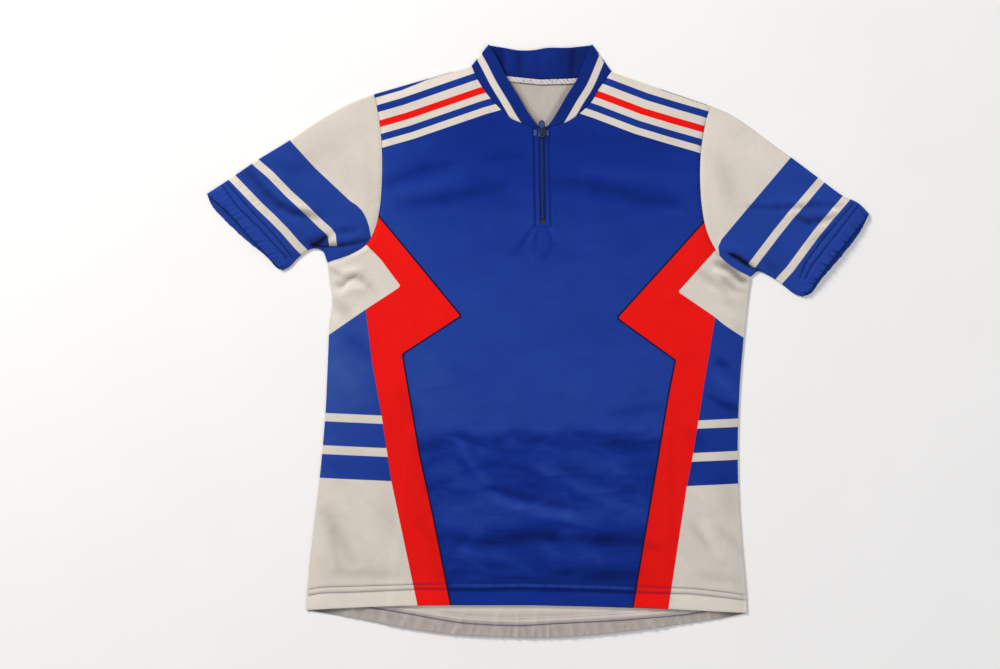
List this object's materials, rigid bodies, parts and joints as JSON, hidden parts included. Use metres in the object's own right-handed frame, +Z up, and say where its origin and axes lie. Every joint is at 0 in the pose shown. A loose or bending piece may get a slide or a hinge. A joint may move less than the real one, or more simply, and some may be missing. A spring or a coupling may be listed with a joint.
{
  "type": "cycling jersey",
  "caption": "Short-sleeved cycling jersey laid flat on its back, with a stand collar, a short front zip, set-in sleeves, a longer back hem and a rear pocket panel.",
  "frame": {"origin": "on the surface the jersey lies on, below the centre of its outline's box", "axes": "+Z up from the surface, out of the front; +Y from hem to collar; +X towards the wearer's left"},
  "size_m": [0.8272, 0.739, 0.0102],
  "materials": {
    "knit": "printed polyester knit with a soft sheen",
    "collar_knit": "fine double knit, matt",
    "white_tape": "woven tape, matt",
    "zip_tape": "woven tape with a nylon coil",
    "slider_enamel": "worn enamel, satin",
    "stop_brass": "satin"
  },
  "bodies": {
    "jersey": {"front_panel": "knit", "back_panel": "knit", "rear_pocket": "knit", "sleeve_right": "knit", "sleeve_left": "knit", "collar": "collar_knit", "neck_tape": "white_tape", "zip_tape_right": "zip_tape", "zip_tape_left": "zip_tape", "zip_slider": "slider_enamel", "zip_bottom_stop": "stop_brass"},
    "pull_tab": {"zip_pull_tab": "slider_enamel"}
  },
  "joints": [
    {"name": "pull_tab_swing", "type": "hinge", "parent": "jersey", "child": "pull_tab", "pos_m": [0.0045, 0.2648, 0.0082], "axis": [1, 0, 0], "range_deg": [0, 150]}
  ]
}
